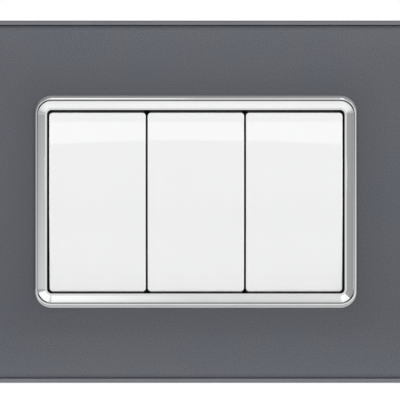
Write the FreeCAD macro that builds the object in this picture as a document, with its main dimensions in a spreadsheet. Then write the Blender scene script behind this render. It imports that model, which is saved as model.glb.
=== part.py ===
"""Three-module grid switch plate: a clip-on cover plate over a support frame with three rocker switches.

The wall is the plane Y = 0 and the front of the plate faces -Y, with Z up. "Out" is a distance in front
of the wall and "depth" a distance behind it. The origin is the middle of the two fixing screws on the wall.
"""

import FreeCAD, Part
import functools
import math
import os
import re
import Sketcher

Vector = FreeCAD.Vector

# Driving dimensions, in millimetres and degrees
SIZES = {
    # cover plate
    "plate_width": 122.0,
    "plate_height": 82.6,
    "plate_corner": 2.5,
    "plate_front": 9.0,
    "rim_width": 1.0,
    "rim_drop": 0.4,
    "rim_chamfer": 0.25,
    "panel_thickness": 3.2,
    "panel_clearance": 0.15,
    "panel_round": 0.9,
    "carrier_floor": 1.8,
    "carrier_skirt": 1.6,
    "carrier_rib": 1.2,
    "rib_height": 2.4,
    "claw_spacing": 60.0,
    "claw_width": 6.0,
    "claw_thickness": 1.4,
    "claw_nose": 0.75,
    "claw_clearance": 0.25,
    # trim bezel
    "bezel_corner": 1.05,
    "bezel_land": 0.45,
    "bezel_bevel": 1.55,
    "bezel_rise": 0.84,
    "land_height": 0.25,
    "groove_width": 0.25,
    "groove_depth": 0.4,
    "lip_width": 0.43,
    "flange_extra": 0.55,
    "flange_height": 0.35,
    "flange_slope": 52.0,
    "bezel_neck": 1.4,
    "bezel_clearance": 0.2,
    "tab_width": 5.0,
    "tab_reach": 0.6,
    # support frame and its screws
    "frame_side_margin": 5.4,
    "frame_end_margin": 8.7,
    "frame_thickness": 2.6,
    "frame_corner": 4.0,
    "frame_rib": 1.4,
    "frame_rib_height": 1.0,
    "catch_recess": 1.2,
    "window_clearance": 0.2,
    "fixing_pitch": 83.5,
    "slot_width": 4.2,
    "slot_length": 6.4,
    "slot_corner": 1.6,
    "slot_land": 1.9,
    "counterbore_depth": 1.0,
    "fixing_screw": 3.5,
    "fixing_head": 6.6,
    "fixing_head_height": 1.9,
    "fixing_reach": 20.0,
    "fixing_neck": 3.1,
    "thread_lead": 0.05,
    # rocker keys
    "key_pitch": 22.4,
    "key_gap": 0.46,
    "key_margin": 0.55,
    "key_height": 40.75,
    "key_apex": 10.0,
    "key_crown": 140.0,
    "key_wall": 1.2,
    "key_skirt": 3.8,
    "key_corner": 0.75,
    "key_edge": 0.15,
    "key_tilt": 2.75,
    "pivot_out": 6.2,
    "prong_spacing": 18.0,
    "prong_width": 5.0,
    "prong_thickness": 1.2,
    "prong_nose": 0.6,
    "prong_clearance": 0.2,
    # actuator, spring and plunger
    "actuator_length": 26.0,
    "actuator_front": 1.7,
    "actuator_thickness": 2.2,
    "actuator_clearance": 0.2,
    "trunnion": 2.4,
    "trunnion_clearance": 0.08,
    "stem_width": 6.4,
    "stem_height": 5.6,
    "stem_length": 10.0,
    "gusset_thickness": 1.4,
    "gusset_spread": 16.0,
    "spring_bore": 3.8,
    "spring_clearance": 0.15,
    "spring_seat": 1.7,
    "spring_wire": 0.45,
    "spring_turns": 3.0,
    "plunger_seat": 8.4,
    "plunger_head": 1.6,
    "plunger_nose": 0.5,
    # switch housing and terminal base
    "module_gap": 0.15,
    "body_height": 45.6,
    "body_depth": 22.0,
    "body_wall": 1.4,
    "body_edge": 0.4,
    "neck_height": 42.2,
    "neck_front": 3.4,
    "neck_step": 0.6,
    "deck": 1.2,
    "deck_opening": 22.0,
    "ear_thickness": 1.2,
    "ear_wall": 0.92,
    "ear_clearance": 0.325,
    "lug_width": 8.0,
    "lug_reach": 0.7,
    "lug_clearance": 0.05,
    "base_flange": 1.6,
    "base_plug": 1.4,
    "base_clearance": 0.15,
    "base_catch_width": 3.0,
    "base_catch_length": 1.6,
    "base_catch_reach": 0.6,
    "base_catch_spacing": 13.6,
    # contacts and terminals
    "fulcrum_depth": 6.9,
    "fulcrum_radius": 0.6,
    "fulcrum_clearance": 0.1,
    "contact_tilt": 5.5,
    "contact_arm": 7.0,
    "rocker_length": 17.2,
    "rocker_width": 8.0,
    "rocker_thickness": 1.0,
    "saddle_height": 0.7,
    "saddle_length": 3.0,
    "plunger_gap": 0.2,
    "contact_width": 2.8,
    "contact_thickness": 0.8,
    "contact_chamfer": 0.25,
    "contact_gap": 0.1,
    "strip_width": 5.0,
    "strip_thickness": 1.0,
    "strip_depth": 12.0,
    "stop_gap": 0.17,
    "stop_width": 1.2,
    "tongue_height": 13.7,
    "cage_width": 8.4,
    "cage_wall": 1.2,
    "cage_space": 4.6,
    "cage_depth": 13.5,
    "cage_length": 6.0,
    "terminal_screw": 3.5,
    "thread_clearance": 0.05,
    "access_hole": 3.8,
    "wire_entry_width": 5.6,
    "wire_entry_height": 3.2,
    "driver_slot": 0.9,
}

# Sizes that follow from the driving dimensions
DERIVED = {
    "frame_width": "plate_width - 2 * carrier_skirt - 2 * frame_side_margin",
    "frame_height": "plate_height - 2 * carrier_skirt - 2 * frame_end_margin",
    "rim_front": "plate_front - rim_drop",
    "panel_seat": "plate_front - panel_thickness",
    "floor_back": "panel_seat - carrier_floor",
    "key_width": "key_pitch - key_gap",
    "opening_width": "3 * key_pitch - key_gap + 2 * key_margin",
    "opening_height": "key_height + 2 * key_margin",
    "bezel_width": "bezel_land + bezel_bevel + groove_width + lip_width",
    "land_front": "plate_front + land_height",
    "crest_front": "land_front + bezel_rise",
    "window_width": "opening_width + 2 * bezel_neck + 2 * bezel_clearance",
    "window_height": "opening_height + 2 * bezel_neck + 2 * bezel_clearance",
    "window_corner": "bezel_corner + bezel_neck + bezel_clearance",
    "claw_inside": "frame_height / 2 + claw_clearance",
    "apex": "key_apex - pivot_out",
    "crown_edge": "sqrt(key_crown ^ 2 - (key_height / 2) ^ 2) - key_crown + apex",
    "inner_crown": "key_crown - key_wall",
    "inner_half": "key_height / 2 - key_wall",
    "inner_edge": "sqrt(inner_crown ^ 2 - inner_half ^ 2) - inner_crown + apex - key_wall",
    "skirt_rear": "crown_edge - key_skirt",
    "inner_width": "key_width - 2 * key_wall",
    "ear_outside": "inner_width / 2 - ear_clearance",
    "ear_inside": "ear_outside - ear_thickness",
    "actuator_half": "ear_inside - actuator_clearance",
    "pin_end": "ear_outside - actuator_clearance / 2",
    "actuator_rear": "actuator_front - actuator_thickness",
    "bearing_radius": "trunnion / 2 + trunnion_clearance",
    "body_width": "key_pitch - module_gap",
    "neck_width": "body_width - 2 * neck_step",
    "cavity_width": "body_width - 2 * body_wall",
    "cavity_height": "body_height - 2 * body_wall",
    "base_floor": "body_depth - base_plug",
    "plunger_tip": "pivot_out + fulcrum_depth - saddle_height - rocker_thickness - plunger_gap",
    "contact_top": "contact_thickness - saddle_height",
    "contact_reach": "contact_arm + contact_width / 2",
    "contact_swing": "contact_top * cos(contact_tilt) + contact_reach * sin(contact_tilt)",
    "fixed_front": "fulcrum_depth + contact_swing + contact_gap",
    "fixed_back": "fixed_front + contact_thickness",
    "strip_back": "strip_depth + strip_thickness",
    "rocker_swing": "rocker_length / 2 * sin(contact_tilt) - saddle_height * cos(contact_tilt)",
    "stop_front": "fulcrum_depth + rocker_swing + stop_gap",
    "tongue_top": "tongue_height + strip_thickness",
    "tongue_end": "cage_depth + cage_length - strip_thickness / 2",
    "cage_bottom": "tongue_height - cage_wall",
    "cage_roof": "tongue_height + cage_space",
    "cage_top": "cage_roof + cage_wall",
    "wire_height": "tongue_top + wire_entry_height / 2",
    "screw_depth": "cage_depth + cage_length / 2",
    "screw_tip": "tongue_top + wire_entry_height",
    "fixing_seat": "frame_thickness - counterbore_depth",
}

MODULES = {"left": -1, "centre": 0, "right": 1}

# The flats that make one turn of a spring
COIL_STEPS = 8

doc = FreeCAD.newDocument("grid_switch_plate")
sheet = doc.addObject("Spreadsheet::Sheet", "Sizes")
for row, (alias, value) in enumerate(SIZES.items(), start=1):
    sheet.set(f"A{row}", alias)
    sheet.set(f"B{row}", str(value))
    sheet.setAlias(f"B{row}", alias)
doc.recompute()

gauge = doc.addObject("App::FeaturePython", "Gauge")
gauge.addProperty("App::PropertyFloat", "Reading")

nodes = []


# Formulas, sketches and features

def formula(text):
    """The spreadsheet expression for a size written in plain names."""

    def expand(match):
        word = match.group(0)
        if word in DERIVED:
            return f"({formula(DERIVED[word])})"
        return f"Sizes.{word}" if word in SIZES else word

    return re.sub(r"[a-z_]+", expand, str(text))


def bind(item, prop, text):
    item.setExpression(prop, formula(text))


@functools.cache
def number(text):
    """The present value of such a size."""
    bind(gauge, "Reading", text)
    gauge.recompute()
    return gauge.Reading


def new_body(name):
    return doc.addObject("PartDesign::Body", name)


def sketch_on(body, plane, lift="0"):
    """A sketch on one of the body's origin planes, moved along that plane's normal by lift."""
    sketch = body.newObject("Sketcher::SketchObject", "Sketch")
    support = next(f for f in body.Origin.OriginFeatures if f.Role == plane)
    sketch.AttachmentSupport = [(support, "")]
    sketch.MapMode = "FlatFace"
    bind(sketch, "AttachmentOffset.Base.z", lift)
    return sketch


def front_sketch(body, out="0"):
    """Seen from the front: across is X and up is Z, at a distance in front of the wall."""
    return sketch_on(body, "XZ_Plane", out)


def side_sketch(body, across="0"):
    """Seen from the right: along is Y and up is Z, at a distance X from the middle."""
    return sketch_on(body, "YZ_Plane", across)


def pin_point(sketch, geometry, position, point):
    """Fixes one point of the sketch at a pair of sizes measured from the origin."""
    for kind, text in zip(("DistanceX", "DistanceY"), point):
        index = sketch.addConstraint(Sketcher.Constraint(kind, -1, 1, geometry, position, number(text)))
        bind(sketch, f"Constraints[{index}]", text)


def set_radius(sketch, geometry, radius):
    index = sketch.addConstraint(Sketcher.Constraint("Radius", geometry, number(radius)))
    bind(sketch, f"Constraints[{index}]", radius)


def arc_between(start, end, radius):
    """The short counter-clockwise arc of that radius from start to end."""
    middle = (start + end) / 2
    along = end - start
    inward = Vector(-along.y, along.x, 0).normalize()
    centre = middle + inward * math.sqrt(radius ** 2 - (along.Length / 2) ** 2)
    angles = [math.atan2(p.y - centre.y, p.x - centre.x) for p in (start, end)]
    return Part.ArcOfCircle(Part.Circle(centre, Vector(0, 0, 1), radius), *angles)


def outline(sketch, corners):
    """A closed outline. A corner with a third size starts an arc of that radius, the others start a line."""
    first = sketch.GeometryCount
    points = [Vector(number(c[0]), number(c[1]), 0) for c in corners]
    for i, corner in enumerate(corners):
        start, end = points[i], points[(i + 1) % len(points)]
        curved = len(corner) == 3
        edge = arc_between(start, end, number(corner[2])) if curved else Part.LineSegment(start, end)
        sketch.addGeometry(edge)
    for i, corner in enumerate(corners):
        following = first + (i + 1) % len(corners)
        sketch.addConstraint(Sketcher.Constraint("Coincident", first + i, 2, following, 1))
        pin_point(sketch, first + i, 1, corner[:2])
        if len(corner) == 3:
            set_radius(sketch, first + i, corner[2])
    return sketch


def block(sketch, left, right, bottom, top):
    """A rectangle between two sizes across and two sizes up."""
    return outline(sketch, [(left, bottom), (right, bottom), (right, top), (left, top)])


def rectangle(sketch, width, height):
    """A rectangle about the origin."""
    half_x, half_y = f"({width}) / 2", f"({height}) / 2"
    return block(sketch, f"-{half_x}", half_x, f"-{half_y}", half_y)


def rounded(sketch, width, height, radius, middle="0"):
    """A rectangle with round corners about the origin, or about a point across from it."""
    left, right = f"({middle}) - ({width}) / 2", f"({middle}) + ({width}) / 2"
    top = f"({height}) / 2"
    inner_left, inner_right = f"{left} + ({radius})", f"{right} - ({radius})"
    inner_top = f"{top} - ({radius})"
    return outline(sketch, [
        (inner_left, f"-{top}"),
        (inner_right, f"-{top}", radius),
        (right, f"-({inner_top})"),
        (right, inner_top, radius),
        (inner_right, top),
        (inner_left, top, radius),
        (left, inner_top),
        (left, f"-({inner_top})", radius),
    ])


def circle(sketch, centre, radius):
    place = Vector(number(centre[0]), number(centre[1]), 0)
    index = sketch.addGeometry(Part.Circle(place, Vector(0, 0, 1), number(radius)))
    pin_point(sketch, index, 3, centre)
    set_radius(sketch, index, radius)
    return sketch


def extrude(kind, body, sketch, length, symmetric, backwards):
    feature = body.newObject(f"PartDesign::{kind}", kind)
    feature.Profile = sketch
    if length is None:
        feature.Type = "ThroughAll"
    else:
        bind(feature, "Length", length)
    if symmetric:
        feature.SideType = "Symmetric"
    feature.Reversed = backwards
    return feature


def pad(body, sketch, length, symmetric=False, backwards=False):
    """Adds material along the sketch's normal, or against it."""
    return extrude("Pad", body, sketch, length, symmetric, backwards)


def pocket(body, sketch, length=None, symmetric=False, backwards=False):
    """Cuts against the sketch's normal, or along it; with no length, right through."""
    return extrude("Pocket", body, sketch, length, symmetric, backwards)


def revolve(body, sketch):
    """Turns a half outline about the sketch's upright axis."""
    feature = body.newObject("PartDesign::Revolution", "Revolution")
    feature.Profile = sketch
    feature.ReferenceAxis = (sketch, ["V_Axis"])
    feature.Angle = 360
    return feature


def soften(kind, body, wanted, size):
    """A Fillet or Chamfer of that size on the edges for which wanted(edge) holds."""
    doc.recompute()
    base = body.Tip
    names = [f"Edge{i}" for i, e in enumerate(base.Shape.Edges, start=1) if wanted(e)]
    feature = body.newObject(f"PartDesign::{kind}", kind)
    feature.Base = (base, names)
    bind(feature, "Radius" if kind == "Fillet" else "Size", size)
    return feature


def near(a, b):
    return abs(a - b) < 1e-4


def level_with(edge, y):
    return near(edge.BoundBox.YMin, y) and near(edge.BoundBox.YMax, y)


def outer_edges(out, width, height):
    """Picks the edges at one distance in front of the wall that lie outside a rectangle about the middle."""
    front, half_x, half_z = -number(out), number(width) / 2, number(height) / 2

    def wanted(edge):
        box = edge.BoundBox
        across = max(abs(box.XMin), abs(box.XMax)) > half_x
        above = max(abs(box.ZMin), abs(box.ZMax)) > half_z
        return level_with(edge, front) and (across or above)

    return wanted


def corner_edges(width, height):
    """Picks the edges along the depth at the four corners of a block about the middle."""
    half_x, half_z = number(width) / 2, number(height) / 2

    def wanted(edge):
        box = edge.BoundBox
        corner = near(abs(box.Center.x), half_x) and near(abs(box.Center.z), half_z)
        return corner and box.YLength > box.XLength + box.ZLength

    return wanted


def finished(node, label):
    """Names a finished piece after its node."""
    doc.recompute()
    node.Label = label
    nodes.append(node)
    return node


def place_module(body, side):
    """Moves a module's piece to its own place in the row."""
    bind(body, "Placement.Base.x", f"{MODULES[side]} * key_pitch")


def place_on_pivot(body, side):
    """Key pieces are drawn square about the pivot, then leaned to rest with the lower half pressed in."""
    body.Placement = FreeCAD.Placement(Vector(), FreeCAD.Rotation(Vector(1, 0, 0), number("key_tilt")))
    place_module(body, side)
    bind(body, "Placement.Base.y", "-pivot_out")
    bind(body, "Placement.Rotation.Angle", "key_tilt * 1 deg")


def place_on_fulcrum(body, side):
    """Contact pieces are drawn square about the fulcrum, then leaned to rest against the upper stop."""
    body.Placement = FreeCAD.Placement(Vector(), FreeCAD.Rotation(Vector(-1, 0, 0), number("contact_tilt")))
    place_module(body, side)
    bind(body, "Placement.Base.y", "fulcrum_depth")
    bind(body, "Placement.Rotation.Angle", "contact_tilt * 1 deg")


def pair(label, first, second):
    """One node of two separate solids."""
    both = doc.addObject("Part::Compound", label)
    both.Links = [first, second]
    return finished(both, label)


# Cover plate

def front_panel():
    """The grey sheet: a rounded front edge and a window for the trim bezel."""
    body = new_body("front_panel")
    inset = "2 * rim_width + 2 * panel_clearance"
    corner = "plate_corner - rim_width - panel_clearance"
    face = front_sketch(body, "panel_seat")
    rounded(face, f"plate_width - ({inset})", f"plate_height - ({inset})", corner)
    rounded(face, "window_width", "window_height", "window_corner")
    pad(body, face, "panel_thickness")
    rim = outer_edges("plate_front", "window_width + bezel_width", "window_height + bezel_width")
    soften("Fillet", body, rim, "panel_round")
    return finished(body, "front_panel")


def plate_carrier():
    """The tray behind the panel: its rim shows round the panel and its claws grip the support frame."""
    body = new_body("plate_carrier")
    pad(body, rounded(front_sketch(body), "plate_width", "plate_height", "plate_corner"), "rim_front")
    seat = front_sketch(body, "rim_front")
    rounded(seat, "plate_width - 2 * rim_width", "plate_height - 2 * rim_width", "plate_corner - rim_width")
    pocket(body, seat, "rim_front - panel_seat")
    hollow = front_sketch(body)
    skirt = "2 * carrier_skirt"
    rounded(hollow, f"plate_width - {skirt}", f"plate_height - {skirt}", "plate_corner - carrier_skirt")
    pocket(body, hollow, "floor_back", backwards=True)
    window = rounded(front_sketch(body, "panel_seat"), "window_width", "window_height", "window_corner")
    pocket(body, window, "carrier_floor")
    for side in (-1, 1):
        carrier_ribs(body, side)
        for up in (-1, 1):
            carrier_claw(body, side, up)
    rim = outer_edges("rim_front", "plate_width - rim_width", "plate_height - rim_width")
    soften("Chamfer", body, rim, "rim_chamfer")
    return finished(body, "plate_carrier")


def carrier_ribs(body, side):
    """Two stiffening ribs under the tray floor on one side, clear of the support frame's ends."""
    inner, outer = "frame_width / 2 + carrier_rib", "plate_width / 2 - carrier_skirt / 2"
    for up in (-1, 1):
        rib = front_sketch(body, "floor_back")
        middle = f"{up} * frame_height / 3"
        ends = sorted((f"{side} * ({inner})", f"{side} * ({outer})"), key=number)
        block(rib, *ends, f"{middle} - carrier_rib / 2", f"{middle} + carrier_rib / 2")
        pad(body, rib, "rib_height", backwards=True)


def carrier_claw(body, side, up):
    """A snap claw that hooks behind the support frame's edge."""
    across = f"{side} * claw_spacing / 2 - claw_width / 2"
    inside, outside = "claw_inside", "claw_inside + claw_thickness"
    hook, nose = "catch_recess - claw_clearance", "claw_inside - claw_nose"
    end = "claw_clearance"
    corners = [
        ("-floor_back", inside),
        (f"-({hook})", inside),
        (f"-({hook})", nose),
        (f"-({end})", f"{nose} + claw_nose / 2"),
        (f"-({end})", outside),
        ("-floor_back", outside),
    ]
    profile = [(along, f"{up} * ({height})") for along, height in corners]
    pad(body, outline(side_sketch(body, across), profile), "claw_width")


def trim_bezel():
    """The chrome ring: one moulding section carried round the key opening, with a flange and a neck."""
    body = new_body("trim_bezel")
    path = rounded(front_sketch(body), "opening_width", "opening_height", "bezel_corner")
    neck_rear = "floor_back - bezel_clearance"
    land_end, crest = "bezel_land", "bezel_land + bezel_bevel"
    groove = f"{crest} + groove_width"
    floor, lip = "crest_front - groove_depth", "crest_front - groove_depth / 3"
    section = [
        (neck_rear, "0"),
        ("land_front", "0"),
        ("land_front", land_end),
        ("crest_front", crest),
        (floor, f"{crest} + groove_width / 4"),
        (floor, groove),
        (lip, f"{groove} + lip_width / 8"),
        (lip, f"{groove} + lip_width / 2"),
        (f"{lip} - lip_width / 3", "bezel_width"),
        ("plate_front", "bezel_width"),
        ("plate_front", "bezel_neck"),
        (neck_rear, "bezel_neck"),
    ]
    profile = [(f"-({out})", f"opening_height / 2 + {across}") for out, across in section]
    ring = body.newObject("PartDesign::AdditivePipe", "AdditivePipe")
    ring.Profile = outline(side_sketch(body), profile)
    ring.Spine = (path, [f"Edge{i}" for i in range(1, 9)])
    flange = front_sketch(body, "plate_front")
    wide, high = "opening_width + 2 * bezel_width", "opening_height + 2 * bezel_width + 2 * flange_extra"
    rounded(flange, wide, high, "bezel_corner + bezel_width")
    root = "(bezel_land + 3 * bezel_bevel / 4)"
    rounded(flange, f"opening_width + 2 * {root}", f"opening_height + 2 * {root}", f"bezel_corner + {root}")
    bind(pad(body, flange, "flange_height"), "TaperAngle", "-flange_slope")
    for side in (-1, 1):
        for up in (-1, 1):
            bezel_tab(body, side, up)
    return finished(body, "trim_bezel")


def bezel_tab(body, side, up):
    """A snap tab that holds the ring behind the tray floor, between two modules."""
    outer = "opening_height / 2 + bezel_neck"
    rear = "floor_back - bezel_clearance"
    corners = [
        (f"-({rear} + bezel_neck)", f"{outer} - bezel_neck / 2"),
        (f"-({rear} - tab_reach)", f"{outer} - bezel_neck / 2"),
        (f"-({rear} - tab_reach)", f"{outer} + tab_reach / 3"),
        (f"-({rear})", f"{outer} + tab_reach"),
        (f"-({rear})", f"{outer} - bezel_neck / 6"),
        (f"-({rear} + bezel_neck)", f"{outer} - bezel_neck / 6"),
    ]
    profile = [(along, f"{up} * ({height})") for along, height in corners]
    across = f"{side} * key_pitch / 2 - tab_width / 2"
    pad(body, outline(side_sketch(body, across), profile), "tab_width")


# Support frame and its screws

def support_frame():
    """The grid frame: a flat flange on the wall with one window for the modules and two fixing slots."""
    body = new_body("support_frame")
    flange = rounded(front_sketch(body), "frame_width", "frame_height", "frame_corner")
    necks = "2 * key_pitch + neck_width"
    rectangle(flange, f"{necks} + 2 * window_clearance", "neck_height + 2 * window_clearance")
    pad(body, flange, "frame_thickness")
    rim = front_sketch(body, "frame_thickness")
    rounded(rim, "frame_width", "frame_height", "frame_corner")
    inset = "2 * frame_rib"
    rounded(rim, f"frame_width - {inset}", f"frame_height - {inset}", "frame_corner - frame_rib")
    pad(body, rim, "frame_rib_height")
    for side in (-1, 1):
        fixing_slot(body, side)
        frame_rib(body, side)
        for up in (-1, 1):
            frame_catch(body, side, up)
    return finished(body, "support_frame")


def fixing_slot(body, side):
    """A slot for a box screw with a sunk land for its head."""
    middle = f"{side} * fixing_pitch / 2"
    sunk = front_sketch(body, "frame_thickness")
    land = "2 * slot_land"
    half_length, half_width = f"(slot_length + {land}) / 2", f"(slot_width + {land}) / 2"
    block(sunk, f"{middle} - {half_length}", f"{middle} + {half_length}", f"-{half_width}", half_width)
    pocket(body, sunk, "counterbore_depth")
    slot = front_sketch(body, "frame_thickness")
    rounded(slot, "slot_length", "slot_width", "slot_corner", middle)
    pocket(body, slot)


def frame_rib(body, side):
    """A stiffening rib between the window and a fixing slot."""
    rib = front_sketch(body, "frame_thickness")
    middle = f"{side} * (3 * key_pitch / 2 + 2 * frame_rib)"
    high = "frame_height / 2 - frame_rib / 2"
    block(rib, f"{middle} - frame_rib / 2", f"{middle} + frame_rib / 2", f"-({high})", high)
    pad(body, rib, "frame_rib_height")


def frame_catch(body, side, up):
    """A recess in the back of the flange's edge for one claw of the cover plate."""
    recess = front_sketch(body)
    middle = f"{side} * claw_spacing / 2"
    half = "claw_width / 2 + claw_clearance"
    inner, outer = "frame_height / 2 - 2 * claw_nose", "frame_height / 2 + claw_nose"
    ends = sorted((f"{up} * ({inner})", f"{up} * ({outer})"), key=number)
    block(recess, f"{middle} - ({half})", f"{middle} + {half}", *ends)
    pocket(body, recess, "catch_recess", backwards=True)


def fixing_screw(side):
    """A slotted box screw, its head on the sunk land and its shank out behind the wall."""
    body = new_body("fixing_screw")
    head, neck, shank = "fixing_head / 2", "fixing_neck / 2", "fixing_screw / 2"
    top = "fixing_seat + fixing_head_height"
    corners = [
        ("0", f"-({top})"),
        (head, f"-({top})"),
        (head, "-fixing_seat"),
        (neck, "-fixing_seat"),
        (neck, "-thread_lead"),
        (shank, "-thread_lead"),
        (shank, "fixing_reach"),
        ("0", "fixing_reach"),
    ]
    revolve(body, outline(sketch_on(body, "XY_Plane"), corners))
    slot = rectangle(front_sketch(body, top), "fixing_head * 2", "driver_slot")
    pocket(body, slot, "fixing_head_height / 2")
    bind(body, "Placement.Base.x", f"{side} * fixing_pitch / 2")
    return body


# Rocker keys and what turns with them, drawn about the pivot

def rocker_key(side):
    """The white key: a crowned cap with a skirt, two snap prongs and two seating ribs inside."""
    body = new_body("rocker_key")
    half = "key_height / 2"
    cap = [
        ("-skirt_rear", f"-{half}"),
        ("-skirt_rear", half),
        ("-crown_edge", half, "key_crown"),
        ("-crown_edge", f"-{half}"),
    ]
    pad(body, outline(side_sketch(body), cap), "key_width", symmetric=True)
    hollow = [
        ("-skirt_rear", "-inner_half"),
        ("-skirt_rear", "inner_half"),
        ("-inner_edge", "inner_half", "inner_crown"),
        ("-inner_edge", "-inner_half"),
    ]
    pocket(body, outline(side_sketch(body), hollow), "inner_width", symmetric=True)
    soften("Fillet", body, corner_edges("key_width", "key_height"), "key_corner")
    corner_x, corner_z = number("key_width / 2"), number(half)
    front = number("crown_edge - key_edge")

    def face_edge(edge):
        box = edge.BoundBox
        rim = max(abs(box.Center.x) - corner_x, abs(box.Center.z) - corner_z) > -number("key_corner")
        return box.YMax < -front and rim

    soften("Chamfer", body, face_edge, "key_edge")
    for up in (-1, 1):
        key_prong(body, up)
        seat = side_sketch(body)
        inner = f"{up} * prong_spacing / 5"
        ends = sorted((f"{inner} - prong_thickness / 2", f"{inner} + prong_thickness / 2"), key=number)
        block(seat, "-(apex - key_wall / 2)", "-actuator_front", *ends)
        pad(body, seat, "2 * prong_width", symmetric=True)
    place_on_pivot(body, side)
    return finished(body, f"rocker_key_{side}")


def key_prong(body, up):
    """A hooked prong that snaps through the actuator."""
    inner = "prong_spacing / 2 - prong_thickness / 2"
    outer = "prong_spacing / 2 + prong_thickness / 2"
    hook = "actuator_rear - prong_clearance / 2"
    corners = [
        ("-(apex - key_wall)", inner),
        (f"-({hook} - 2 * prong_nose)", inner),
        (f"-({hook} - 2 * prong_nose)", outer),
        (f"-({hook})", f"{outer} + prong_nose"),
        (f"-({hook})", outer),
        ("-(apex - key_wall)", outer),
    ]
    profile = [(along, f"{up} * ({height})") for along, height in corners]
    pad(body, outline(side_sketch(body), profile), "prong_width", symmetric=True)


def key_actuator(side):
    """The rocker under the key: a plate on two trunnions with a hollow square stem for the spring."""
    body = new_body("key_actuator")
    half = "actuator_length / 2"
    plate = block(side_sketch(body), "-actuator_front", "-actuator_rear", f"-{half}", half)
    pad(body, plate, "2 * actuator_half", symmetric=True)
    for across in ("actuator_half", "-pin_end"):
        pin = circle(side_sketch(body, across), ("0", "0"), "trunnion / 2")
        pad(body, pin, "pin_end - actuator_half")
    pad(body, rectangle(front_sketch(body), "stem_width", "stem_height"), "stem_length", backwards=True)
    spread, root = "gusset_spread / 2", "stem_height / 2 - gusset_thickness / 2"
    gusset = [
        ("-(actuator_front + actuator_rear) / 2", f"-({spread})"),
        ("-(actuator_front + actuator_rear) / 2", spread),
        ("stem_length * 0.7", root),
        ("stem_length * 0.7", f"-({root})"),
    ]
    bore_end = "spring_seat + spring_clearance"
    pad(body, outline(side_sketch(body), gusset[::-1]), "gusset_thickness", symmetric=True)
    bore = rectangle(front_sketch(body, "-stem_length"), "spring_bore", "spring_bore")
    pocket(body, bore, f"stem_length - ({bore_end})", backwards=True)
    for up in (-1, 1):
        slot = front_sketch(body, "actuator_front")
        middle = f"{up} * prong_spacing / 2"
        reach = "prong_thickness / 2 + prong_clearance"
        wide = "prong_width / 2 + prong_clearance"
        block(slot, f"-({wide})", wide, f"{middle} - ({reach})", f"{middle} + {reach}")
        pocket(body, slot, "actuator_thickness")
    place_on_pivot(body, side)
    return finished(body, f"key_actuator_{side}")


def toggle_spring(side):
    """The over-centre spring in the stem, between the blind end of the bore and the plunger."""
    wire = number("spring_wire")
    outer = number("spring_bore / 2 - spring_clearance")
    start = number("spring_seat + 2 * spring_clearance")
    rise = number("plunger_seat - spring_clearance / 2 - spring_wire") - start
    steps = round(number("spring_turns") * COIL_STEPS)
    sections = []
    for step in range(steps + 1):
        turn = FreeCAD.Rotation(Vector(0, 1, 0), 360 * step / COIL_STEPS)
        low = start + rise * step / steps
        inner, high = outer - wire, low + wire
        ring = [(outer, low), (outer, high), (inner, high), (inner, low), (outer, low)]
        sections.append(Part.makePolygon([turn.multVec(Vector(x, y, 0)) for x, y in ring]))
    coil = doc.addObject("Part::Feature", "toggle_spring")
    coil.Shape = Part.makeLoft(sections, True, True)
    place_on_pivot(coil, side)
    return finished(coil, f"toggle_spring_{side}")


def toggle_plunger(side):
    """The wedge-nosed block that the spring presses on the contact rocker."""
    body = new_body("toggle_plunger")
    head, nose = "(spring_bore / 2 - spring_clearance)", "plunger_nose"
    corners = [
        ("plunger_seat", f"-{head}"),
        ("plunger_seat + plunger_head", f"-{head}"),
        ("plunger_tip", f"-{nose}"),
        ("plunger_tip", nose),
        ("plunger_seat + plunger_head", head),
        ("plunger_seat", head),
    ]
    pad(body, outline(side_sketch(body), corners), f"2 * {head}", symmetric=True)
    place_on_pivot(body, side)
    return finished(body, f"toggle_plunger_{side}")


# Switch housing and terminal base

def switch_housing(side):
    """The module's case: a body behind the frame, a neck through its window and two bearing ears."""
    body = new_body("switch_housing")
    pad(body, rectangle(front_sketch(body, "-body_depth"), "body_width", "body_height"), "body_depth")
    soften("Chamfer", body, corner_edges("body_width", "body_height"), "body_edge")
    pad(body, rectangle(front_sketch(body), "neck_width", "neck_height"), "neck_front")
    cavity = rectangle(front_sketch(body, "-body_depth"), "cavity_width", "cavity_height")
    pocket(body, cavity, "body_depth - body_wall", backwards=True)
    throat = rectangle(front_sketch(body, "-body_wall"), "cavity_width", "neck_height - 2 * body_wall")
    pocket(body, throat, "body_wall + neck_front - deck", backwards=True)
    opening = rectangle(front_sketch(body, "neck_front"), "2 * ear_inside", "deck_opening")
    pocket(body, opening, "deck")
    for hand in (-1, 1):
        bearing_ear(body, hand)
        housing_lug(body, hand)
    pocket(body, circle(side_sketch(body), ("-pivot_out", "0"), "bearing_radius"), symmetric=True)
    access = sketch_on(body, "XY_Plane")
    reach = "access_hole / 2"
    block(access, f"-{reach}", reach, f"screw_depth - {reach}", f"screw_depth + {reach}")
    pocket(body, access, symmetric=True)
    for hand in (-1, 1):
        window = sketch_on(body, "XY_Plane")
        middle = f"{hand} * base_catch_spacing / 2"
        reach = "base_catch_width / 2 + base_clearance"
        block(window, f"{middle} - ({reach})", f"{middle} + {reach}",
              "base_floor - base_catch_length - 2 * base_clearance", "base_floor")
        pocket(body, window, symmetric=True)
    place_module(body, side)
    return finished(body, f"switch_housing_{side}")


def bearing_ear(body, hand):
    """An ear with bevelled shoulders that carries one trunnion."""
    across = "ear_inside" if hand > 0 else "-ear_outside"
    half, shoulder = "(bearing_radius + ear_wall)", "-(pivot_out + bearing_radius / 2)"
    top, root = f"-(pivot_out + {half})", "-(neck_front - deck)"
    ear = [
        (root, f"-{half}"),
        (root, half),
        (shoulder, half),
        (top, "bearing_radius / 2"),
        (top, "-bearing_radius / 2"),
        (shoulder, f"-{half}"),
    ]
    pad(body, outline(side_sketch(body, across), ear), "ear_thickness")


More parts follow.
